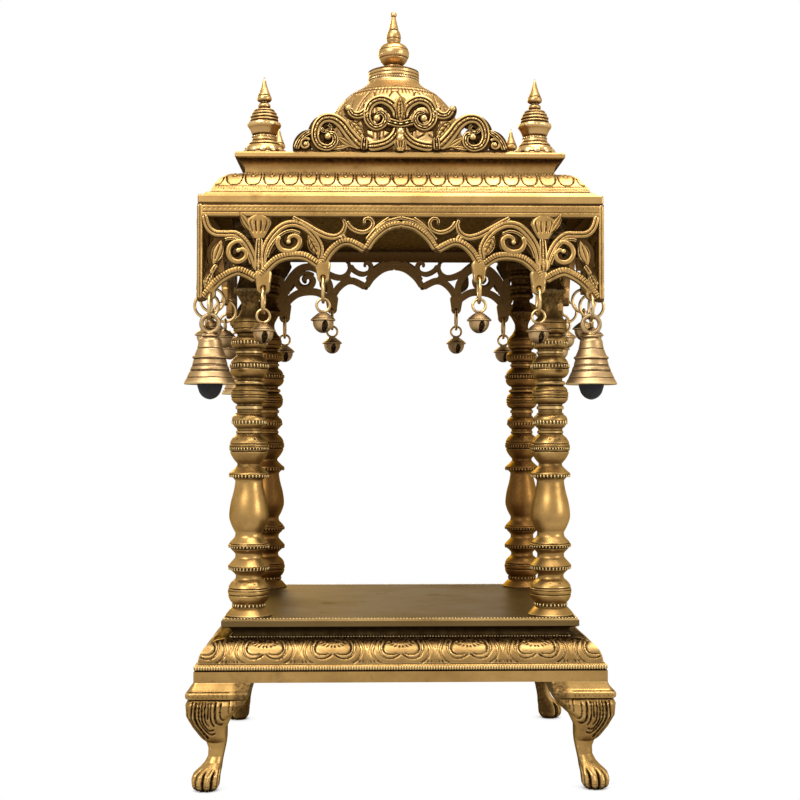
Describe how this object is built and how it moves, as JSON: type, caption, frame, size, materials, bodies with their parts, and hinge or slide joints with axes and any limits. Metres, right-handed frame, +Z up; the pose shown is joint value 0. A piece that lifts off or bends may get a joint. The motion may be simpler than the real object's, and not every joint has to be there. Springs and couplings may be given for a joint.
{
  "type": "pooja mandir",
  "caption": "Brass home shrine: paw-footed base with a petal band, turned posts, pierced scalloped valances hung with bells, stepped roof with a scroll crest, dome and pot finial.",
  "frame": {"origin": "middle of the plan, on the ground under the paws", "axes": "+Z up, -Y is the front with the scroll crest, +X to the right seen from the front"},
  "size_m": [0.265, 0.2496, 0.51],
  "materials": {
    "polished_brass": "polished, aged",
    "rear_brass": "polished, warmer tarnish",
    "plate_brass": "satin brushed",
    "bell_brass": "satin, turned",
    "black_iron": "gloss black"
  },
  "bodies": {
    "shrine": {"base_moulding": "polished_brass", "base_plate": "plate_brass", "canopy_moulding": "polished_brass", "canopy_slab": "polished_brass", "dome": "polished_brass", "drum": "polished_brass", "front_crest": "polished_brass", "front_left_leg": "polished_brass", "front_left_post": "polished_brass", "front_left_turret": "polished_brass", "front_right_leg": "polished_brass", "front_right_post": "polished_brass", "front_right_turret": "polished_brass", "front_valance": "polished_brass", "kalash": "polished_brass", "left_valance": "polished_brass", "rear_left_leg": "polished_brass", "rear_left_post": "rear_brass", "rear_left_turret": "polished_brass", "rear_right_leg": "polished_brass", "rear_right_post": "rear_brass", "rear_right_turret": "polished_brass", "rear_valance": "rear_brass", "right_valance": "polished_brass"},
    "front_jingle_left_inner": {"front_jingle_left_inner": "polished_brass"},
    "front_jingle_left_outer": {"front_jingle_left_outer": "polished_brass"},
    "front_jingle_right_inner": {"front_jingle_right_inner": "polished_brass"},
    "front_jingle_right_outer": {"front_jingle_right_outer": "polished_brass"},
    "front_left_bell": {"front_left_bell": "bell_brass"},
    "front_left_clapper": {"front_left_clapper": "black_iron"},
    "front_right_bell": {"front_right_bell": "bell_brass"},
    "front_right_clapper": {"front_right_clapper": "black_iron"},
    "left_jingle_front_inner": {"left_jingle_front_inner": "polished_brass"},
    "left_jingle_front_outer": {"left_jingle_front_outer": "polished_brass"},
    "left_jingle_rear_inner": {"left_jingle_rear_inner": "polished_brass"},
    "left_jingle_rear_outer": {"left_jingle_rear_outer": "polished_brass"},
    "rear_jingle_left_inner": {"rear_jingle_left_inner": "polished_brass"},
    "rear_jingle_left_outer": {"rear_jingle_left_outer": "polished_brass"},
    "rear_jingle_right_inner": {"rear_jingle_right_inner": "polished_brass"},
    "rear_jingle_right_outer": {"rear_jingle_right_outer": "polished_brass"},
    "rear_left_bell": {"rear_left_bell": "bell_brass"},
    "rear_left_clapper": {"rear_left_clapper": "black_iron"},
    "rear_right_bell": {"rear_right_bell": "bell_brass"},
    "rear_right_clapper": {"rear_right_clapper": "black_iron"},
    "right_jingle_front_inner": {"right_jingle_front_inner": "polished_brass"},
    "right_jingle_front_outer": {"right_jingle_front_outer": "polished_brass"},
    "right_jingle_rear_inner": {"right_jingle_rear_inner": "polished_brass"},
    "right_jingle_rear_outer": {"right_jingle_rear_outer": "polished_brass"}
  },
  "joints": [
    {"name": "front_jingle_left_inner_swing", "type": "hinge", "parent": "shrine", "child": "front_jingle_left_inner", "pos_m": [-0.0478, -0.109, 0.3126], "axis": [0, 1, 0], "range_deg": [-14, 14]},
    {"name": "front_jingle_left_outer_swing", "type": "hinge", "parent": "shrine", "child": "front_jingle_left_outer", "pos_m": [-0.0843, -0.109, 0.306], "axis": [0, 1, 0], "range_deg": [-14, 14]},
    {"name": "front_jingle_right_inner_swing", "type": "hinge", "parent": "shrine", "child": "front_jingle_right_inner", "pos_m": [0.0478, -0.109, 0.3126], "axis": [0, 1, 0], "range_deg": [-14, 14]},
    {"name": "front_jingle_right_outer_swing", "type": "hinge", "parent": "shrine", "child": "front_jingle_right_outer", "pos_m": [0.0843, -0.109, 0.306], "axis": [0, 1, 0], "range_deg": [-14, 14]},
    {"name": "front_left_bell_swing", "type": "hinge", "parent": "shrine", "child": "front_left_bell", "pos_m": [-0.1167, -0.109, 0.302], "axis": [0, 1, 0], "range_deg": [-4, 16]},
    {"name": "front_left_clapper_swing", "type": "hinge", "parent": "front_left_bell", "child": "front_left_clapper", "pos_m": [-0.1167, -0.109, 0.27095], "axis": [0, 1, 0], "range_deg": [-6, 6]},
    {"name": "front_right_bell_swing", "type": "hinge", "parent": "shrine", "child": "front_right_bell", "pos_m": [0.1167, -0.109, 0.302], "axis": [0, 1, 0], "range_deg": [-16, 4]},
    {"name": "front_right_clapper_swing", "type": "hinge", "parent": "front_right_bell", "child": "front_right_clapper", "pos_m": [0.1167, -0.109, 0.27095], "axis": [0, 1, 0], "range_deg": [-6, 6]},
    {"name": "left_jingle_front_inner_swing", "type": "hinge", "parent": "shrine", "child": "left_jingle_front_inner", "pos_m": [-0.123, -0.04127, 0.3126], "axis": [1, 0, 0], "range_deg": [-11, 11]},
    {"name": "left_jingle_front_outer_swing", "type": "hinge", "parent": "shrine", "child": "left_jingle_front_outer", "pos_m": [-0.123, -0.07279, 0.306], "axis": [1, 0, 0], "range_deg": [-11, 11]},
    {"name": "left_jingle_rear_inner_swing", "type": "hinge", "parent": "shrine", "child": "left_jingle_rear_inner", "pos_m": [-0.123, 0.04127, 0.3126], "axis": [1, 0, 0], "range_deg": [-11, 11]},
    {"name": "left_jingle_rear_outer_swing", "type": "hinge", "parent": "shrine", "child": "left_jingle_rear_outer", "pos_m": [-0.123, 0.07279, 0.306], "axis": [1, 0, 0], "range_deg": [-11, 11]},
    {"name": "rear_jingle_left_inner_swing", "type": "hinge", "parent": "shrine", "child": "rear_jingle_left_inner", "pos_m": [-0.0478, 0.109, 0.3126], "axis": [0, 1, 0], "range_deg": [-14, 14]},
    {"name": "rear_jingle_left_outer_swing", "type": "hinge", "parent": "shrine", "child": "rear_jingle_left_outer", "pos_m": [-0.0843, 0.109, 0.306], "axis": [0, 1, 0], "range_deg": [-14, 14]},
    {"name": "rear_jingle_right_inner_swing", "type": "hinge", "parent": "shrine", "child": "rear_jingle_right_inner", "pos_m": [0.0478, 0.109, 0.3126], "axis": [0, 1, 0], "range_deg": [-14, 14]},
    {"name": "rear_jingle_right_outer_swing", "type": "hinge", "parent": "shrine", "child": "rear_jingle_right_outer", "pos_m": [0.0843, 0.109, 0.306], "axis": [0, 1, 0], "range_deg": [-14, 14]},
    {"name": "rear_left_bell_swing", "type": "hinge", "parent": "shrine", "child": "rear_left_bell", "pos_m": [-0.1167, 0.109, 0.302], "axis": [0, 1, 0], "range_deg": [-4, 16]},
    {"name": "rear_left_clapper_swing", "type": "hinge", "parent": "rear_left_bell", "child": "rear_left_clapper", "pos_m": [-0.1167, 0.109, 0.27095], "axis": [0, 1, 0], "range_deg": [-6, 6]},
    {"name": "rear_right_bell_swing", "type": "hinge", "parent": "shrine", "child": "rear_right_bell", "pos_m": [0.1167, 0.109, 0.302], "axis": [0, 1, 0], "range_deg": [-16, 4]},
    {"name": "rear_right_clapper_swing", "type": "hinge", "parent": "rear_right_bell", "child": "rear_right_clapper", "pos_m": [0.1167, 0.109, 0.27095], "axis": [0, 1, 0], "range_deg": [-6, 6]},
    {"name": "right_jingle_front_inner_swing", "type": "hinge", "parent": "shrine", "child": "right_jingle_front_inner", "pos_m": [0.123, -0.04127, 0.3126], "axis": [1, 0, 0], "range_deg": [-11, 11]},
    {"name": "right_jingle_front_outer_swing", "type": "hinge", "parent": "shrine", "child": "right_jingle_front_outer", "pos_m": [0.123, -0.07279, 0.306], "axis": [1, 0, 0], "range_deg": [-11, 11]},
    {"name": "right_jingle_rear_inner_swing", "type": "hinge", "parent": "shrine", "child": "right_jingle_rear_inner", "pos_m": [0.123, 0.04127, 0.3126], "axis": [1, 0, 0], "range_deg": [-11, 11]},
    {"name": "right_jingle_rear_outer_swing", "type": "hinge", "parent": "shrine", "child": "right_jingle_rear_outer", "pos_m": [0.123, 0.07279, 0.306], "axis": [1, 0, 0], "range_deg": [-11, 11]}
  ]
}
